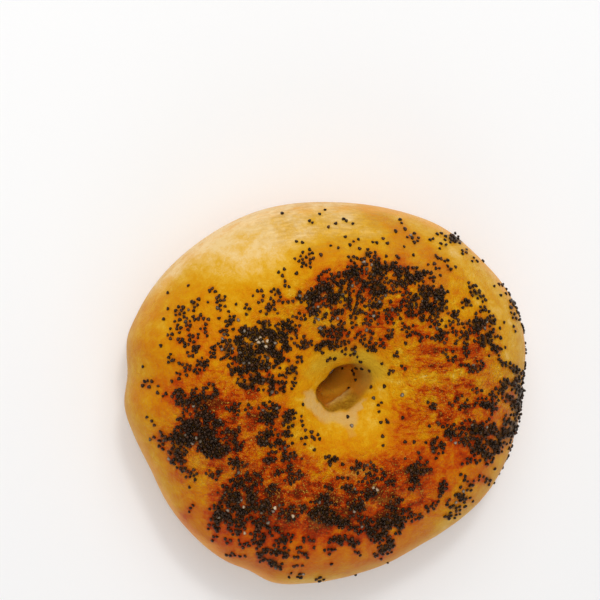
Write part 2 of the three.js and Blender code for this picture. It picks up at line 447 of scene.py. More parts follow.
def crust_tones(points, normals, direction, section, in_hole, viewer, heaped):
    """Each tone of the crust's finish by its name, from 0 to 1 at each point.

    heaped says how thickly seeds lie, in a square grid of cells over the shown face.
    """
    spots = viewer.seen(points)
    wavy = wander(spots, points, STROKE_WANDER)
    faces = smooth_step(*FACES_FROM_TO, normals @ viewer.back) * (1 - in_hole)
    under = smooth_step(*UNDER_FROM_TO, -normals[..., 2])
    plain = SIDE_TONE + (UNDERSIDE_TONE - SIDE_TONE) * under
    bake = lay_strokes(*wavy, BAKE_STROKES, SIDE_TONE)
    wrinkle = faces * lay_strokes(*wavy, WRINKLE_STROKES)
    bake = plain + (bake - plain) * faces + layered_noise(points, PATCHES) * (PATCHES_ON_SMOOTH + wrinkle)
    up_side = np.abs(turn_between(section, 0)) + layered_noise(points, SIDE_WANDER)
    side = (1 - smooth_step(*SIDE_FROM_TO, up_side)) * (1 - swell_at(direction, [SIDE_BROWNED]))
    near_seeds = faces * heaped[shown_cells(np.stack(spots, -1))]
    # Painted shade near seeds: the crust browner where they lie thickly
    bake = bake + NEAR_SEED_SHADE * (1 - side) * smooth_step(*NEAR_SEED_SHADE_FROM_TO, near_seeds)

    height = points[..., 2]
    depth = LIP_HEIGHT - height
    crest, full = fold_line(direction)
    over_fold = smooth_step(*FOLD_FULL_FROM_TO, full) * smooth_step(*FOLD_UP_FROM_TO, height - crest)
    shaded = in_hole * smooth_step(*SHADED_FROM_TO, depth) * (1 - over_fold)

    torn = smooth_step(*TORN_FROM_TO, lay_strokes(*wander(spots, points, TORN_WANDER), CRUMB_STROKES))
    torn = torn * (1 - in_hole) * smooth_step(*TORN_FACES_FROM_TO, normals @ viewer.back)
    # The fold's crest painted pale: a painted highlight, laid with the torn crumb
    crest_highlight = FOLD_CREST_HIGHLIGHT[0] * in_hole * full * hump(height - crest, FOLD_CREST_HIGHLIGHT[1])
    funnel = in_hole * swell_at(direction, [FUNNEL_SIDE]) * (1 - smooth_step(*FUNNEL_FROM_TO, depth))
    return {
        "bake": np.clip(bake, 0, 1),
        "wrinkle": wrinkle,
        "crumb_and_crest_highlight": np.clip(torn + crest_highlight, 0, 1),
        "side": side,
        "lines": faces * lay_strokes(*spots, LINE_STROKES),
        "halo": faces * lay_strokes(*wavy, HALO_STROKES),
        "streaks": faces * lay_strokes(*wavy, STREAK_STROKES),
        "wall": in_hole,
        "shaded": shaded,
        # painted shade under heaped seeds
        "painted_seed_shade": smooth_step(*PAINTED_SEED_SHADE_FROM_TO, near_seeds),
        "depth": np.clip(depth / LIP_HEIGHT, 0, 1),
        "funnel": funnel,
    }


# ----- Relief of the crust

DRAWN_OUT = (0.3, 1, 1)  # the wrinkles lie along X

# Noises: strength, size and seed
UNEVEN = [(0.22, 13, 31), (0.1, 5, 32)]
WRINKLES = [(0.12, 2.2, 33)]
PIMPLES = [(0.05, 1.5, 34)]
PIMPLES_ON_SMOOTH = 0.3  # how strong the pimples are where there are no wrinkles
RELIEF_FROM_TO = (-0.1, 0.4)  # how far up the section the relief begins and is full, as a sine


def crust_relief(points, section, wrinkle):
    """How far the crust stands out of the dough's smooth form, in millimetres.

    Broad unevenness and pimples are noise in space. Wrinkles are noise that is drawn out along X.
    """
    upper = smooth_step(*RELIEF_FROM_TO, np.sin(np.radians(section)))
    wrinkles = wrinkle * layered_noise(points * DRAWN_OUT, WRINKLES)
    pimples = (PIMPLES_ON_SMOOTH + wrinkle) * layered_noise(points, PIMPLES)
    return upper * (layered_noise(points, UNEVEN) + wrinkles + pimples)


# ----- Meshes


def add_object(name, data):
    """An object in the scene for a mesh, a lamp or a camera."""
    thing = bpy.data.objects.new(name, data)
    bpy.context.scene.collection.objects.link(thing)
    return thing


def mesh_from(name, points, faces, material):
    """A smooth-shaded object at the origin from points in millimetres and lists of corner numbers."""
    mesh = bpy.data.meshes.new(name)
    mesh.from_pydata((points.reshape(-1, 3) * MM).tolist(), [], faces)
    mesh.shade_smooth()
    mesh.materials.append(material)
    mesh.update()
    return add_object(name, mesh)


def grid_quads(rows, columns, is_closed):
    """Corner numbers of the quads of a grid whose rows are rings, and whose last row may join its first."""
    row, column = np.meshgrid(np.arange(rows if is_closed else rows - 1), np.arange(columns), indexing="ij")
    next_row, next_column = (row + 1) % rows, (column + 1) % columns
    return np.stack([
        row * columns + column, next_row * columns + column,
        next_row * columns + next_column, row * columns + next_column,
    ], -1).reshape(-1, 4)


def paint(thing, name, values):
    """Stores one number for each point of the mesh, for its material to read."""
    layer = thing.data.attributes.new(name, "FLOAT", "POINT")
    layer.data.foreach_set("value", np.asarray(values, dtype=np.float32).ravel())


# ----- Materials


class Nodes:
    """A node tree and short ways to add nodes to it."""

    def __init__(self, tree):
        self.tree = tree

    def feed(self, node, inputs):
        """Sets a node's inputs by name or number, each to a value or to another node's output."""
        for key, value in inputs.items():
            if isinstance(value, bpy.types.NodeSocket):
                self.tree.links.new(value, node.inputs[key])
            else:
                node.inputs[key].default_value = value

    def node(self, kind, inputs=None, **settings):
        """A node with some of its properties and inputs set."""
        node = self.tree.nodes.new(kind)
        for key, value in settings.items():
            setattr(node, key, value)
        self.feed(node, inputs or {})
        return node


class Finish(Nodes):
    """A new material and short ways to build its shader."""

    def __init__(self, name):
        self.material = bpy.data.materials.new(name)
        self.material.use_nodes = True
        super().__init__(self.material.node_tree)

    def shade(self, inputs):
        """Sets the inputs of the material's shader."""
        self.feed(self.tree.nodes["Principled BSDF"], inputs)

    def value_of(self, attribute):
        """The number that paint() stored under this name."""
        return self.node("ShaderNodeAttribute", attribute_name=attribute).outputs["Fac"]

    def noise(self, scale, detail, roughness, distortion, stretch=(1, 1, 1)):
        """Noise with features of 1 / scale metres, in object space with its axes scaled."""
        place = self.node("ShaderNodeTexCoord").outputs["Object"]
        place = self.node("ShaderNodeVectorMath", {0: place, 1: stretch}, operation="MULTIPLY").outputs[0]
        inputs = {"Scale": scale, "Detail": detail, "Roughness": roughness, "Distortion": distortion}
        return self.node("ShaderNodeTexNoise", {"Vector": place, **inputs}).outputs["Fac"]

    def math(self, operation, *values, clamp=False):
        """One sum of numbers or outputs."""
        inputs = dict(enumerate(values))
        return self.node("ShaderNodeMath", inputs, operation=operation, use_clamp=clamp).outputs[0]

    def peaks(self, value, gain_and_shift):
        """A number that is scaled and shifted, and cut off at 0 and 1."""
        return self.math("MULTIPLY_ADD", value, *gain_and_shift, clamp=True)

    def ramp(self, factor, stops):
        """Colours at places between 0 and 1."""
        node = self.node("ShaderNodeValToRGB", {"Fac": factor})
        elements = node.color_ramp.elements
        while len(elements) < len(stops):
            elements.new(0.5)
        for element, (place, *colour) in zip(elements, stops):
            element.position = place
            element.color = (*colour, 1)
        return node.outputs["Color"]

    def mix(self, factor, first, second):
        """A mix of two colours."""
        return self.node("ShaderNodeMix", {0: factor, 6: first, 7: second}, data_type="RGBA").outputs[2]

    def bump(self, **inputs):
        """Relief too fine for the mesh."""
        return self.node("ShaderNodeBump", inputs).outputs["Normal"]


# Colours by place between 0 and 1: place, red, green, blue
CRUST_TONES = [
    (0.0, 0.79, 0.55, 0.24), (0.12, 0.73, 0.43, 0.09), (0.22, 0.67, 0.352, 0.021),
    (0.32, 0.62, 0.275, 0.003), (0.45, 0.58, 0.2, 0.001), (0.6, 0.53, 0.122, 0.001),
    (0.75, 0.45, 0.038, 0.001), (0.9, 0.26, 0.006, 0.001), (1.0, 0.12, 0.006, 0.002),
]
SIDE_TONES = [
    (0.0, 0.88, 0.62, 0.3), (0.15, 0.81, 0.41, 0.085), (0.35, 0.8, 0.32, 0.03), (0.6, 0.73, 0.22, 0.016),
    (1.0, 0.4, 0.1, 0.01),
]
# Torn crumb at the lip, and the painted highlight on the fold's crest
CRUMB_AND_CREST_HIGHLIGHT = (0.6, 0.36, 0.11, 1)
RIDGE = (0.62, 0.28, 0.03, 1)
# Pale grains on wrinkled crust: partly pale pimples, partly painted glints
PALE_GRAIN_AND_GLINT = (0.78, 0.4, 0.045, 1)
WALL = [(0.35, 0.28, 0.115, 0.006), (0.65, 0.42, 0.22, 0.014)]
# Painted shade on the hole's wall by depth: darkest just under the lip, lighter deeper down
PAINTED_SHADE_IN_HOLE = [(0.12, 0.46, 0.145, 0.008), (0.3, 0.62, 0.235, 0.011), (0.45, 0.95, 0.5, 0.03)]
FUNNEL = (0.59, 0.35, 0.05, 1)
HALO = (0.53, 0.325, 0.02, 1)
LINES = (0.44, 0.22, 0.03, 1)
PAINTED_SEED_SHADE = (0.045, 0.018, 0.006, 1)  # painted shade under heaped seeds
CRUST_SHEEN = (1.0, 0.62, 0.05, 1)  # the tint of the crust's gloss
CRUST_GLOSS = 0.38

# Scale, detail, roughness and distortion of each noise, and how it is stretched
CRUST_NOISES = {
    "blotches": (330, 4, 0.6, 0.8),
    "mottle": (900, 3, 0.6, 0.6),
    "flecks": (1900, 2, 0.6, 0),
    "creases": (480, 3, 0.5, 1.2, DRAWN_OUT),
    "ridges": (210, 4, 0.6, 1.0, DRAWN_OUT),
    "lines": (1000, 3, 0.6, 0.3, DRAWN_OUT),
}
# How strongly a noise changes the tone: more by this where there are wrinkles, and this everywhere
TONE_NOISES = {"blotches": (0.8, 0.27), "mottle": (0.6, 0.16), "flecks": (0.5, 0.08)}
# The gain and shift that leave only part of a noise
VALLEYS = (-2.1, 1.0)
CREASED = (3.2, -1.66)
RIDGED = (6.0, -3.4)
BROKEN = (3.0, -1.0)
GRAIN_AND_GLINT_PEAKS = (5.0, -2.85)
LINED = (2.4, -0.85)
TORN = (1.0, 0.4)
# The same, for how rough wrinkled crust is, and how strongly it is pitted
ROUGH = (-0.3, 0.54)
PITTED = (1.0, 0.12)
MOTTLE_IN_PITS = 1.5  # how much more the mottle counts in the pits than the flecks
FOLDS_HIGH = 0.0004  # metres
PITS_DEEP = 0.0006


def crust_finish():
    """Baked crust: its tones by how browned it is, mottled and glossy where it is wrinkled."""
    finish = Finish("baked_crust")
    wrinkle = finish.value_of("wrinkle")
    streaks = finish.value_of("streaks")
    noise = {name: finish.noise(*settings) for name, settings in CRUST_NOISES.items()}

    tone = finish.value_of("bake")
    for name, amounts in TONE_NOISES.items():
        amount = finish.math("MULTIPLY_ADD", wrinkle, *amounts)
        tone = finish.math("MULTIPLY_ADD", finish.math("SUBTRACT", noise[name], 0.5), amount, tone)
    tone = finish.math("MULTIPLY_ADD", finish.peaks(noise["ridges"], VALLEYS), wrinkle, tone)
    tone = finish.math("MULTIPLY_ADD", finish.peaks(noise["creases"], CREASED), streaks, tone)

    broken = finish.peaks(noise["flecks"], BROKEN)
    colour = finish.ramp(tone, CRUST_TONES)
    # Each colour over those before it: where it lies, how much of that it covers, and the colour
    for name, cover, own in (
        ("side", 1.0, finish.ramp(tone, SIDE_TONES)),
        ("wrinkle", finish.math("MULTIPLY", finish.peaks(noise["ridges"], RIDGED), broken), RIDGE),
        # pale grains, partly painted glints
        ("wrinkle", finish.peaks(noise["flecks"], GRAIN_AND_GLINT_PEAKS), PALE_GRAIN_AND_GLINT),
        ("halo", 1.0, HALO),
        ("lines", finish.peaks(noise["lines"], LINED), LINES),
        ("wall", 1.0, finish.ramp(noise["mottle"], WALL)),
        ("shaded", 1.0, finish.ramp(finish.value_of("depth"), PAINTED_SHADE_IN_HOLE)),
        ("funnel", 1.0, FUNNEL),
        # torn crumb, and the painted highlight on the fold's crest
        ("crumb_and_crest_highlight", finish.peaks(noise["mottle"], TORN), CRUMB_AND_CREST_HIGHLIGHT),
        # painted shade under heaped seeds
        ("painted_seed_shade", 1.0, PAINTED_SEED_SHADE),
    ):
        colour = finish.mix(finish.math("MULTIPLY", finish.value_of(name), cover), colour, own)

    relief = finish.bump(Height=finish.math("MULTIPLY", noise["creases"], streaks), Distance=FOLDS_HIGH)
    pits = finish.math("MULTIPLY_ADD", noise["mottle"], MOTTLE_IN_PITS, noise["flecks"])
    pits = finish.math("MULTIPLY", pits, finish.math("MULTIPLY_ADD", wrinkle, *PITTED))
    finish.shade({
        "Base Color": colour,
        "Roughness": finish.math("MULTIPLY_ADD", wrinkle, *ROUGH),
        "Specular IOR Level": CRUST_GLOSS,
        "Specular Tint": CRUST_SHEEN,
        "Normal": finish.bump(Height=pits, Distance=PITS_DEEP, Normal=relief),
    })
    return finish.material


# Colours of each kind from dark to light; the light end is a painted highlight on the seeds' tops
SEED_KINDS = {
    "black": [(0.0, 0.002, 0.001, 0.0006), (0.5, 0.009, 0.003, 0.0015), (1.0, 0.05, 0.021, 0.01)],
    "brown": [(0.0, 0.007, 0.002, 0.001), (0.5, 0.022, 0.0065, 0.0025), (1.0, 0.1, 0.037, 0.017)],
    "grey": [(0.0, 0.03, 0.018, 0.011), (0.5, 0.11, 0.08, 0.055), (1.0, 0.4, 0.32, 0.24)],
    "pale": [(0.0, 0.3, 0.18, 0.09), (1.0, 0.8, 0.62, 0.42)],
}
SEED_SHEEN = (1.0, 0.74, 0.52, 1)
SEED_GLOSS = 0.35
SEED_ROUGHNESS = 0.26
NETTING_CELLS = 6000  # to the metre
NETTING_WIDE = 0.25  # of a cell
NETTING_HIGH = 0.00003  # metres


def netting_group():
    """Fine ridges in a net, as a group: how high they are at the piece's own coordinates."""
    group = bpy.data.node_groups.new("seed netting", "ShaderNodeTree")
    cells = group.interface.new_socket(name="Cells", in_out="INPUT", socket_type="NodeSocketFloat")
    cells.default_value = NETTING_CELLS
    group.interface.new_socket(name="Ridge", in_out="OUTPUT", socket_type="NodeSocketFloat")
    nodes = Nodes(group)
    place = nodes.node("ShaderNodeTexCoord").outputs["Object"]
    scale = nodes.node("NodeGroupInput").outputs["Cells"]
    net = nodes.node("ShaderNodeTexVoronoi", {"Vector": place, "Scale": scale}, feature="DISTANCE_TO_EDGE")
    ridge = nodes.node("ShaderNodeMapRange", {
        "Value": net.outputs["Distance"], "From Max": NETTING_WIDE, "To Min": 1, "To Max": 0,
    })
    nodes.node("NodeGroupOutput", {"Ridge": ridge.outputs["Result"]})
    return group


def seed_finish(kind, netting):
    """A poppy seed's skin: dark with a painted highlight on top, a little glossy, and netted with fine
    ridges.
    """
    finish = Finish(f"poppy_seed_{kind}")
    ridge = finish.node("ShaderNodeGroup", node_tree=netting).outputs["Ridge"]
    finish.shade({
        "Base Color": finish.ramp(finish.value_of("tint_and_highlight"), SEED_KINDS[kind]),
        "Roughness": SEED_ROUGHNESS,
        "Specular IOR Level": SEED_GLOSS,
        "Specular Tint": SEED_SHEEN,
        "Normal": finish.bump(Height=ridge, Distance=NETTING_HIGH),
    })
    return finish.material


# ----- The crust


def make_crust(heaped):
    """The crust's object and the viewer, with the crust where the CAD ring is."""
    around, about = np.meshgrid(
        np.arange(CRUST_AROUND) / CRUST_AROUND, np.arange(CRUST_SECTION) / CRUST_SECTION, indexing="ij",
    )
    points, direction, section, in_hole = dough_surface(around, about)
    low, high = points.reshape(-1, 3).min(0), points.reshape(-1, 3).max(0)
    cad_low, cad_high = (np.array(corner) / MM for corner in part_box("bagel"))
    shift = np.append(((cad_low + cad_high) / 2 - (low + high) / 2)[:2], 0)

    viewer = Viewer(shift + [0, 0, WAIST_HEIGHT])
    normals = grid_normals(points)
    tones = crust_tones(points + shift, normals, direction, section, in_hole, viewer, heaped)
    relief = crust_relief(points, section, tones["wrinkle"])
    points = points + shift + normals * relief[..., None]

    quads = grid_quads(CRUST_AROUND, CRUST_SECTION, is_closed=True)
    crust = mesh_from("crust", points, quads.tolist(), crust_finish())
    for name, values in tones.items():
        paint(crust, name, values)
    return crust, viewer


# ----- The seeds

CHANCE = 7  # start of the random numbers

# Drifts of seeds on the shown face: right, up, half width, half height, count, and turn if it has one
DRIFTS = [
    # upper left
    (-5.5, 37.5, 3.3, 1.9, 20), (-12.5, 34, 0.9, 1.2, 3), (-11, 30.5, 0.9, 0.9, 3),
    (-13.5, 28, 1.6, 2.2, 12), (-17.5, 28, 1.4, 1, 4), (-17.5, 25.3, 6.8, 0.7, 10),
    (-15.5, 23.3, 2.2, 1.1, 9), (-22.5, 22.7, 1.1, 1, 5), (-26.5, 20.2, 1, 2, 10),
    (-29, 25.4, 1.2, 1.7, 10), (-31.5, 28.4, 1, 0.5, 3), (-36.7, 24.6, 1, 1.4, 7), (-39.2, 20, 3, 2.5, 26),
    (-42.5, 16.7, 1.5, 1, 5, 30), (-32, 20.5, 3.4, 1.6, 3, 20), (-34.4, 16.8, 1.8, 1.2, 6),
    (-40.5, 14.4, 1, 0.8, 3), (-37.2, 13.2, 1.7, 2.2, 20), (-37, 7.8, 3, 2.1, 25, 10),
    (-43, 9, 0.8, 1.6, 6), (-41.8, 4.5, 0.8, 1.6, 6, -20), (-49.6, 3, 0.9, 0.6, 3),
    (-30, 11.5, 2.2, 3, 16), (-19, 16, 4.4, 3, 86, 20), (-12.5, 17, 3.8, 2.4, 38, 15),
    (-25.5, 11.5, 5, 1.8, 34, -20), (-17, 10, 4.5, 3.2, 78), (-21.5, 8, 4, 3.5, 60), (-14.5, 13, 3, 3, 30),
    (-19, 3.2, 4.2, 2, 48), (-14.5, 2.4, 2.8, 2.2, 20), (-12, 7, 2.6, 2.6, 8), (-7, 21.5, 1.8, 1, 7),
    (-8, 13.6, 3.2, 1.6, 16), (-8, 9, 1.3, 1.1, 5), (-9, 6.3, 1.2, 0.9, 5), (-8.6, 2.4, 1.1, 1.2, 6),
    (-24, 16, 3, 2.2, 5),
    # upper right
    (2.3, 28.2, 4.2, 4.4, 108), (9, 31, 3.4, 3.2, 52), (14, 33.6, 3.4, 2.6, 50), (15.5, 30.5, 3, 2.4, 28),
    (25.2, 32.6, 4.2, 1.9, 62, -12), (23, 29.5, 4, 2, 26), (27.5, 26.6, 4.2, 2.2, 48, 10),
    (30.5, 25.2, 2.8, 2.6, 30), (27, 22.6, 4.2, 1.7, 26), (9, 25, 3.2, 2.2, 24), (5, 21.8, 3, 2, 18),
    (-2.2, 23.2, 2.2, 2.4, 24), (-4.5, 26.6, 2.6, 1.4, 24), (14, 22, 3.8, 2.6, 26),
    (15.5, 26.5, 2.8, 1.8, 12), (20, 22, 2.4, 2.4, 12), (31.5, 28.5, 2, 2, 12), (12, 37.3, 4.6, 1.5, 18),
    (20, 36.3, 2.2, 1.6, 8), (24.4, 42.9, 1.5, 0.8, 7), (31, 43.3, 2.2, 0.9, 6),
    (33, 40.4, 0.8, 2.2, 5, 10), (33, 37.7, 1.6, 0.8, 6, -10), (36.6, 42.8, 1.8, 0.9, 22, -12),
    (39, 39.6, 0.7, 1, 5), (42, 37, 0.9, 0.5, 3), (35.5, 35, 0.9, 0.8, 5), (31.2, 34.9, 1.1, 0.6, 3, -30),
    (42.4, 27.8, 2.8, 1, 18, -48), (39, 24.6, 1.4, 1.1, 10), (36.5, 17.5, 1.8, 3.2, 20),
    (44.6, 18, 2.4, 4.2, 72), (40.5, 16, 2, 3, 16), (32.5, 16, 2, 1.8, 16), (10.5, 15.2, 2.4, 1.8, 18),
    (34.6, 11.6, 1.5, 2, 8), (38.5, 10.5, 2.6, 2.4, 9), (47.4, 12.2, 1.2, 0.9, 9), (44, 8, 1.2, 0.8, 6),
    (40.4, 6.1, 2.2, 1, 10), (53, 25, 0.8, 2, 12, -15), (53.3, 20.8, 0.6, 1.7, 8),
    (48.6, 15.4, 0.9, 0.6, 3), (49.6, 8.8, 1.5, 0.8, 8, -30), (53, 6.6, 1.8, 0.9, 14, -30),
    (30.5, 19.5, 3, 1.5, 8), (26, 15.4, 3.4, 1.2, 9, -15), (17.6, 16.8, 1.4, 1.6, 8),
    (22.5, 18, 3, 1.2, 6), (3, 13.3, 2.8, 1.3, 24), (7, 11.6, 1.6, 1.6, 9, 20), (-2.2, 12.6, 2.2, 1.4, 10),
    (15, 13, 2.8, 1.4, 14, 10), (2, 9, 1.6, 0.5, 4), (9, 6.2, 1.4, 0.6, 4), (20.5, 10.4, 1, 0.6, 3, -30),
    (18, 5.8, 0.9, 0.5, 3, 20), (5, 17, 5, 2, 34),
    # lower left
    (-45.6, 0, 1.5, 1.2, 5, -20), (-37, -1.2, 4.4, 2.4, 52), (-32.5, 0.4, 2.2, 1.6, 16),
    (-35.5, -8, 3.6, 3.4, 76), (-33.5, -11, 3.5, 4.2, 108), (-37.5, -11, 3.2, 3, 54),
    (-32, -15.6, 3.4, 2, 38), (-24, -5, 2.4, 1.4, 16), (-28.5, -12.5, 1.4, 2.8, 10),
    (-49, -7.6, 0.9, 0.5, 2, -30), (-44.4, -13.4, 3.6, 2, 28, -15), (-41, -16.2, 2.2, 1.6, 13),
    (-41.5, -18.7, 2.2, 1.2, 14), (-38.2, -22.6, 2.6, 1, 15, -35), (-37.6, -32.5, 0.8, 0.8, 3),
    (-25, -14, 1.5, 3.4, 20, -10), (-16, -5.8, 2.4, 2.2, 40), (-9.8, -8, 1.9, 2.1, 25),
    (-6.5, -8.1, 0.5, 1.2, 4), (-15.8, -12.8, 2.4, 2, 34, -15), (-12, -14, 2.8, 1.6, 16, -10),
    (-10.8, -17.5, 1.8, 1.4, 15), (-15.6, -18.6, 1.5, 2, 13), (-6.5, -13.5, 1.4, 1, 4, -40),
    (-2, -13.2, 1.2, 1.4, 5, -30), (-24.5, -20.2, 2, 1.8, 17, 30), (-31, -23, 1.6, 1.6, 10),
    (-10, -23.2, 2.7, 2, 26), (-22, -25, 3.2, 2, 42), (-24, -31.8, 4, 3.4, 106), (-29.5, -34, 2, 2.2, 28),
    (-19, -31, 3, 2, 38, -10), (-28.5, -28, 1.6, 1.6, 6), (-15, -27.6, 1.7, 1.3, 12),
    (-11, -33.6, 3, 1.8, 24), (-18, -36.6, 2, 1.8, 18), (-31.4, -37.4, 1.3, 1.5, 12),
    (-25, -38.2, 1.7, 1.6, 14), (-27.6, -35.5, 1.6, 1.2, 8), (-18.5, -38.6, 1.8, 1.6, 14),
    (-18, -41, 1, 1.7, 9), (-14, -38.8, 1.5, 1.2, 8), (-31, -41.3, 1.5, 1, 4), (-26, -41.6, 1.5, 0.8, 5),
    (-21.8, -42.6, 1.4, 1, 8), (-12, -41.6, 2.4, 1.2, 20, 20), (-12.5, -44.8, 2.2, 1.2, 16),
    (-5, -41.3, 1.6, 0.7, 6), (-6, -43.7, 2.2, 0.3, 4), (-7, -45.6, 1.4, 0.9, 8),
    (-17, -45.2, 1.8, 1.5, 20), (-14.8, -47.4, 2.4, 1, 18, -30), (-25.5, -45.6, 2.4, 0.5, 7, -10),
    (-7, -48.9, 1.6, 0.4, 4), (-8, -51.2, 1.8, 0.9, 8, 10), (-1.5, -52.4, 0.9, 0.6, 5),
    # lower right
    (54, -1, 1.5, 3.8, 74), (50.4, 0.6, 1.4, 2.4, 12), (48, -0.5, 1, 1, 4), (44.4, -3, 1.8, 1.4, 15),
    (42.5, -0.5, 1.4, 1.2, 6), (47, -3, 1.5, 2.5, 14), (37.8, -3, 2.2, 1.6, 14),
    (29.7, -3.5, 1.2, 0.8, 8, -40), (52, -10.8, 1.7, 3.6, 62), (36, -11.5, 2.5, 1.9, 30, -25),
    (32, -15.2, 1.5, 1.7, 20), (41, -9.8, 2.2, 1.4, 22), (45, -11.4, 2.4, 2.8, 46),
    (44.6, -17, 2.4, 2.6, 38, 10), (41.2, -13.6, 1.8, 1.6, 12), (48, -14.6, 1.5, 2.4, 18),
    (40, -19.3, 1.6, 0.7, 7, 25), (26.3, -21.5, 2.6, 1.3, 32, 10), (25, -24.6, 1.3, 1.4, 10, -30),
    (24, -27.2, 0.6, 0.6, 3), (18.5, -25.6, 1.1, 0.6, 8), (33, -27.2, 0.8, 1.9, 14, -10),
    (39, -24, 0.8, 0.9, 3, 40), (44.6, -24.6, 1.4, 1, 9, -20), (39.8, -26.4, 1.7, 1.1, 10, 30),
    (37.8, -30.4, 2.8, 1.5, 26, 15), (36, -34, 1.7, 0.9, 13, 25), (11.5, -22.4, 4.2, 2.2, 38, -15),
    (2, -19.6, 2.2, 1.3, 12), (1, -27, 1.6, 0.7, 5), (6.5, -27.2, 2, 1.3, 13, 15),
    (12.6, -28.6, 2.4, 1.1, 14), (-1, -34.4, 4.6, 1.6, 58, -22), (3.6, -36, 2.2, 1.3, 18, -20),
    (-2, -31.6, 3.4, 1.2, 14), (9, -31.6, 2, 1.4, 20), (19.8, -31.4, 2, 1.6, 16),
    (22.5, -34.4, 3.2, 1.3, 26, -5), (9.8, -37, 3.2, 1.8, 30, -15), (15, -38.4, 2.8, 2.4, 52, 20),
    (19.6, -36.4, 2.2, 2.4, 28), (30, -32, 1.8, 0.9, 11, 35), (16.6, -41.6, 2.4, 1.5, 20),
    (16.8, -44, 1.4, 1.5, 13), (14.2, -45.2, 1, 0.5, 4), (3.5, -41.4, 2.2, 1.2, 16),
    (1.4, -44.6, 1.5, 0.7, 7), (7.6, -42, 1.4, 1.2, 12), (8.4, -45, 1.2, 0.4, 3), (6, -24.5, 2.4, 1.2, 3),
    (0, -29.5, 1.6, 1.2, 8),
    # between the others
    (5.5, 31, 2.2, 2, 10), (36, 21, 1.6, 1.6, 8), (51, 0.5, 1.2, 2.4, 8), (-11, 12.9, 1.2, 1.2, 6),
    (-11, -11.8, 1.2, 1, 5),
]

# Single seeds: right, up
LOOSE = [
    (-12, 50), (0, 51), (-1.5, 49.8), (-4.3, 47.9), (-3.5, 47.4), (1, 46.2), (-8, 42.2), (-6.3, 41.9),
    (1.6, 41), (5.2, 48.4), (6, 47.9), (3, 47.2), (7.8, 47.1), (21, 48.2), (21.5, 47.3), (19.8, 45),
    (22.4, 45.6), (25, 44.4), (26.2, 43.2), (22.2, 40.7), (29.4, 42.6), (5.7, 43.5), (8, 42.2),
    (9.4, 42.8), (7, 41.2), (13.4, 42), (14.5, 41.8), (16.3, 43), (17.5, 41.7), (3.7, 40.4), (12, 40),
    (9.7, 40.2), (39.2, 42), (41.3, 40.1), (32.3, 32.7), (28.9, 35.7), (24.8, 38.4), (-44, 27.8),
    (-38.3, 29.8), (-41, 23.9), (-44, 23.3), (-45.2, 20.4), (-41.8, 21.6), (-46, 13), (-51, 7.2),
    (-49.2, 1.4), (-51, 1.8), (-33.4, 19), (-29.3, 17), (-35.4, 26), (-8, 33.3), (-1, 33), (-20.2, 27),
    (-32.8, 25.2), (-34.8, 21.6), (-26, 8), (-28.6, 17.4), (50.8, 29.3), (50.2, 19.5), (49, 17.9),
    (52.8, 18.4), (53.3, 17), (50.5, 12.5), (46, 10.2), (55, 5.2), (36, 8.6), (22.6, 13.7), (10, 8.5),
    (5, 6.5), (8.3, 5), (12.5, 6), (8.7, 3.3), (13, 1.4), (6.7, 1), (16.7, 1.6), (16, 8), (21.5, 7.3),
    (22.5, 6.5), (-6.2, -3.5), (-5.5, -10.7), (-3.8, -11.2), (-47.8, -9.3), (-41.3, -7.7), (-38, -26.7),
    (-6.5, -18.7), (-3, -16.2), (6.4, -7), (7.5, -9.5), (13.7, -1.7), (15, -3.7), (15.9, -3), (15.2, -5.5),
    (15.7, -8.5), (17.2, -7.8), (17.6, -8.5), (16.2, -12.4), (16.3, -15), (21.7, -0.8), (21.8, -7.2),
    (22.5, -14), (25, -14), (28.3, -14.2), (29.3, -9.5), (31.5, -8.5), (32, -9), (26.2, -17),
    (22.5, -18.7), (26.8, -18.5), (31.2, -18.6), (47.5, -21.5), (1.8, -48.2), (15.7, -46.8), (17.5, -47.8),
    (8.5, -51.2), (21, -46.5), (-23, 12), (-28, 24), (-24.3, 20.2),
]

# Pale specks among them, which are laid first
PALE = [
    (-19.2, 14.8), (-18.1, 15.2), (-18.6, 13.9), (-17.5, 14.1), (-16.2, 14.3), (-16.6, 12.7),
    (-22.8, -32.2), (-14, -32.5), (-9, -34.8), (-22.5, -39.5), (13.6, -26.9), (14.6, -27.4),
]

# Seeds on the side that turns away from the viewer: direction, section angle, spread of each, count
SIDE_DRIFTS = [(8, 12, 12, 8, 48), (-12, 10, 7, 7, 40), (27, 20, 6, 7, 18)]

SIDE_RAYS_OUT = 80  # how far out the rays start that land them
SIDE_RAYS_UP = 22  # and how far above the waist, times the sine of the section angle

SEED_LENGTH = 1.1
SEED_WIDTH = 0.9
SEED_THICKNESS = 0.78
SEED_BEND = 0.22
SEED_BEND_MIDDLE = 0.35  # the squared length that the bend leaves in place
SEED_GRID = (5, 8)  # rings between its ends, and sides
SEED_GAP = 0.88  # closest that two middles lie in one layer, as seen
SEED_NEXT = (0.9, 1.4)  # how far a seed that clings to another lies from it
CLINGING = 0.4  # share of seeds that cling to another of their drift
DRIFT_SPREAD = 0.66  # how the others spread in a drift's oval, as a bell curve
DRIFT_END = 1.5  # how far past its oval a drift reaches
FULLNESS = 0.86  # seeds for each that a drift states
TRIES = 20
TRIES_ABOVE = 4  # the last of them, which look for room in the upper layer
GAPS = (1, 1.5, 41)  # noise that makes gaps between the clumps of a drift
GAP_FROM_TO = (-0.5, 0.35)  # the noise where no seed falls, and where none is turned away
SEED_SUNK = 0.3  # share of the thickness that is in the crust
SECOND_LAYER_UP = 0.6
SEED_SIZES = (0.98, 0.1)  # mean and spread
SEED_SIZE_LIMITS = (0.76, 1.2)
ASIDE = (0.31, 0.83, 0.46)  # from this way on, a seed is spun about where it stands
SEED_LEAN = 0.25
SEED_LEAN_ABOVE = 1.5  # how much more those in the upper layer lean
TINT_OF_KIND = 0.55  # how much of its tint is chance. The rest is a painted highlight, lighter the higher up the seed it is.
GREY_SHARE = 0.03
BROWN_SHARE = 0.4


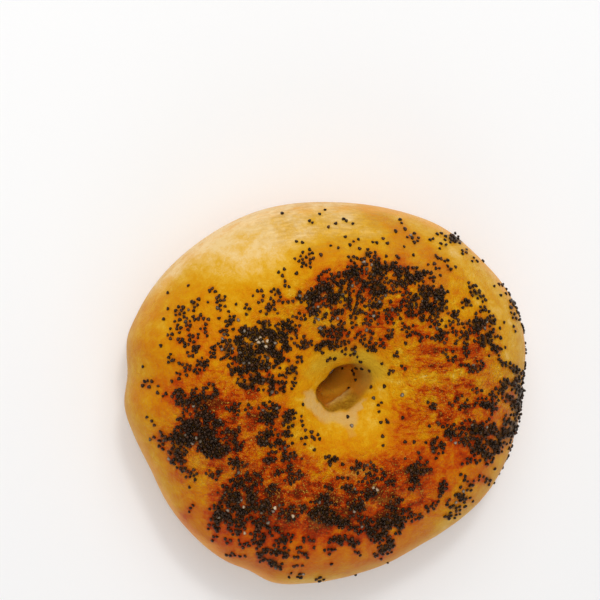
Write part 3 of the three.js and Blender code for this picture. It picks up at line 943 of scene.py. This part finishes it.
def scatter_seeds(draws):
    """Places of the seeds on the shown face, and which of two layers each lies in.

    A seed falls somewhere in its drift's oval, or clings to an earlier one of its drift, more often where
    a noise over the face is high. If no try finds room in the lower layer, it lies on top of the others.
    """
    chance = smooth_step(*GAP_FROM_TO, layered_noise(shown_grid(), [GAPS]))
    places = list(np.array(PALE + LOOSE))
    layers = [0] * len(places)
    lower, upper = list(places), []
    for x, y, wide, high, count, *turn in DRIFTS:
        turn = math.radians(sum(turn))
        cos, sin = math.cos(turn), math.sin(turn)
        own = []
        for _ in range(round(count * FULLNESS)):
            for attempt in range(TRIES):
                if own and draws.random() < CLINGING:
                    way, far = draws.uniform(0, 2 * np.pi), draws.uniform(*SEED_NEXT)
                    spot = own[draws.integers(len(own))] + far * np.array([np.cos(way), np.sin(way)])
                else:
                    along, over = draws.normal(0, DRIFT_SPREAD, 2) * (wide, high)
                    spot = np.array([x + along * cos - over * sin, y + along * sin + over * cos])
                away = spot - [x, y]
                along = (away[0] * cos + away[1] * sin) / wide
                over = (away[1] * cos - away[0] * sin) / high
                is_out = np.hypot(along, over) > DRIFT_END or draws.random() > chance[shown_cells(spot)]
                pile = lower if attempt < TRIES - TRIES_ABOVE else upper
                is_close = pile and np.min(np.sum((np.array(pile) - spot) ** 2, axis=1)) < SEED_GAP ** 2
                if not is_out and not is_close:
                    pile.append(spot)
                    own.append(spot)
                    places.append(spot)
                    layers.append(int(pile is upper))
                    break
    return np.array(places), np.array(layers)


def land_seeds(crust, viewer, places, layers, draws):
    """Points and normals of the crust under the seeds: along the viewer's rays, and on the far side."""
    mesh = crust.data
    corners = [corner.co for corner in mesh.vertices]
    tree = BVHTree.FromPolygons(corners, [quad.vertices for quad in mesh.polygons])
    origin = Vector(viewer.place * MM)
    hits = [tree.ray_cast(origin, Vector(viewer.ray(x, y))) for x, y in places]
    landed = [(hit[0], hit[1], layer) for hit, layer in zip(hits, layers) if hit[0] is not None]

    for direction, section, along, across, number in SIDE_DRIFTS:
        at = np.radians(direction + along * draws.normal(size=number))
        up = np.radians(section + across * draws.normal(size=number))
        rise = WAIST_HEIGHT + SIDE_RAYS_UP * np.sin(up)
        starts = np.stack([SIDE_RAYS_OUT * np.cos(at), SIDE_RAYS_OUT * np.sin(at), rise], -1) * MM
        inward = np.stack([-np.cos(at), -np.sin(at), 0 * at], -1)
        for start, way in zip(starts, inward):
            hit = tree.ray_cast(Vector(start), Vector(way))
            landed.append((hit[0], hit[1], 0))
    points, normals, layers = (np.array(values) for values in zip(*landed))
    return points / MM, unit(normals), layers


def seed_form():
    """A poppy seed: a ball squashed to its three sizes, and bent into a kidney by the square of its length.

    Returns its points, the quads between its rings, and the triangles at its two ends.
    """
    rings, sides = SEED_GRID
    up = np.pi * (np.arange(rings) + 1) / (rings + 1)
    turn = 2 * np.pi * np.arange(sides) / sides
    up, turn = np.meshgrid(up, turn, indexing="ij")
    ball = np.stack([np.cos(up), np.sin(up) * np.cos(turn), np.sin(up) * np.sin(turn)], -1).reshape(-1, 3)
    ball = np.concatenate([ball, [[1, 0, 0], [-1, 0, 0]]])
    form = ball * [SEED_LENGTH / 2, SEED_WIDTH / 2, SEED_THICKNESS / 2]
    form[:, 1] += SEED_BEND * (ball[:, 0] ** 2 - SEED_BEND_MIDDLE)
    first, last = rings * sides, rings * sides + 1
    side = np.arange(sides)
    end = (rings - 1) * sides
    caps = [(first, a, b) for a, b in zip(side, np.roll(side, -1))]
    caps += [(last, end + b, end + a) for a, b in zip(side, np.roll(side, -1))]
    return form, grid_quads(rings, sides, is_closed=False), np.array(caps)


def heap_up(places):
    """Seeds on each square millimetre of the shown face's cells: their count, blurred twice each way."""
    cells = shown_cells(places)
    count = np.zeros(shown_grid().shape[:2])
    np.add.at(count, cells, 1.0)
    spread = np.ones(SEED_HEAP_BLUR) / SEED_HEAP_BLUR
    for axis in (0, 1, 0, 1):
        count = np.apply_along_axis(np.convolve, axis, count, spread, "same")
    return count / SHOWN_STEP ** 2


def make_seeds(crust, viewer, places, layers, draws):
    """The seeds: one piece for each kind, each seed turned and sized by chance."""
    points, normals, layers = land_seeds(crust, viewer, places, layers, draws)
    count = len(points)

    sizes = draws.normal(*SEED_SIZES, size=(count, 1)).clip(*SEED_SIZE_LIMITS)
    spin = draws.uniform(0, 2 * np.pi, size=(count, 1))
    lean = draws.normal(0, SEED_LEAN, size=(count, 3)) * (1 + SEED_LEAN_ABOVE * layers[:, None])
    stand = unit(normals + lean)
    aside = unit(np.cross(stand, ASIDE))
    beside = np.cross(stand, aside)
    length = aside * np.cos(spin) + beside * np.sin(spin)
    width = np.cross(stand, length)
    rise = SEED_THICKNESS * (0.5 - SEED_SUNK) + SECOND_LAYER_UP * layers[:, None]
    middles = points + normals * rise

    form, quads, caps = seed_form()
    turned = (
        form[None, :, :1] * length[:, None] + form[None, :, 1:2] * width[:, None]
        + form[None, :, 2:] * stand[:, None]
    )
    seeds = middles[:, None] + turned * sizes[:, None]

    lot = draws.random(count)
    kinds = np.where(lot < GREY_SHARE, 2, np.where(lot < GREY_SHARE + BROWN_SHARE, 1, 0))
    kinds[:len(PALE)] = 3
    tints = draws.random(count)
    # A painted highlight: each seed lighter towards its top
    top = np.clip(form[:, 2] / form[:, 2].max(), 0, 1) ** 2
    pieces = []
    netting = netting_group()
    for number, kind in enumerate(SEED_KINDS):
        own = seeds[kinds == number]
        first = np.arange(len(own))[:, None, None] * len(form)
        faces = (quads[None] + first).reshape(-1, 4).tolist() + (caps[None] + first).reshape(-1, 3).tolist()
        piece = mesh_from(f"seeds_{kind}", own, faces, seed_finish(kind, netting))
        paint(piece, "tint_and_highlight", TINT_OF_KIND * tints[kinds == number][:, None] + (1 - TINT_OF_KIND) * top)
        pieces.append(piece)
    return pieces


# ----- Floor, light and camera

FLOOR_SIZE = 4
FLOOR_WHITE = (0.9, 0.9, 0.9, 1)
FLOOR_ROUGHNESS = 0.9
FLOOR_GLOSS = 0.1
WORLD_STRENGTH = 0.42
LIGHT_DISTANCE = 1.3
# Lamps: direction, degrees above the floor, width, power
LAMPS = {
    "key": (95, 52, 0.9, 6.4),
    "sparkle": (88, 58, 0.16, 2.6),
    "fill": (135, 77, 0.25, 3.2),
    "low": (275, 24, 0.9, 2.3),
}


def make_floor():
    """A plain white floor."""
    finish = Finish("floor")
    finish.shade({
        "Base Color": FLOOR_WHITE, "Roughness": FLOOR_ROUGHNESS, "Specular IOR Level": FLOOR_GLOSS,
    })
    corners = FLOOR_SIZE / 2 / MM * np.array([(-1, -1, 0), (1, -1, 0), (1, 1, 0), (-1, 1, 0)])
    floor = mesh_from("floor", corners, [(0, 1, 2, 3)], finish.material)


def make_lights():
    """A large soft lamp and a small one from beyond the bagel, one by the viewer and a low one opposite."""
    world = bpy.data.worlds.new("room")
    world.use_nodes = True
    background = world.node_tree.nodes["Background"]
    Nodes(world.node_tree).feed(background, {"Color": (1, 1, 1, 1), "Strength": WORLD_STRENGTH})
    bpy.context.scene.world = world

    for name, (direction, height, width, power) in LAMPS.items():
        at, up = math.radians(direction), math.radians(height)
        way = Vector((math.cos(up) * math.cos(at), math.cos(up) * math.sin(at), math.sin(up)))
        light = bpy.data.lights.new(name, "AREA")
        light.size = width
        light.energy = power
        lamp = add_object(name, light)
        lamp.location = way * LIGHT_DISTANCE
        lamp.rotation_euler = way.to_track_quat("Z", "Y").to_euler()


def make_camera(viewer):
    """The camera, where the viewer is."""
    data = bpy.data.cameras.new("camera")
    data.sensor_width = SENSOR_WIDTH
    data.lens = SENSOR_WIDTH * VIEW_DISTANCE / VIEW_SHOWN_WIDTH
    data.clip_start, data.clip_end = CLIP_FROM_TO
    camera = add_object("camera", data)
    turn = Matrix([viewer.right, viewer.up, viewer.back]).transposed()
    camera.matrix_world = Matrix.Translation(Vector(viewer.place * MM)) @ turn.to_4x4()
    bpy.context.scene.camera = camera
    bpy.context.scene.view_settings.view_transform = "Standard"


draws = np.random.default_rng(CHANCE)
places, layers = scatter_seeds(draws)
crust, viewer = make_crust(heap_up(places))
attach(crust, "root")
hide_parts("bagel")
for piece in make_seeds(crust, viewer, places, layers, draws):
    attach(piece, "root")
make_floor()
make_lights()
make_camera(viewer)
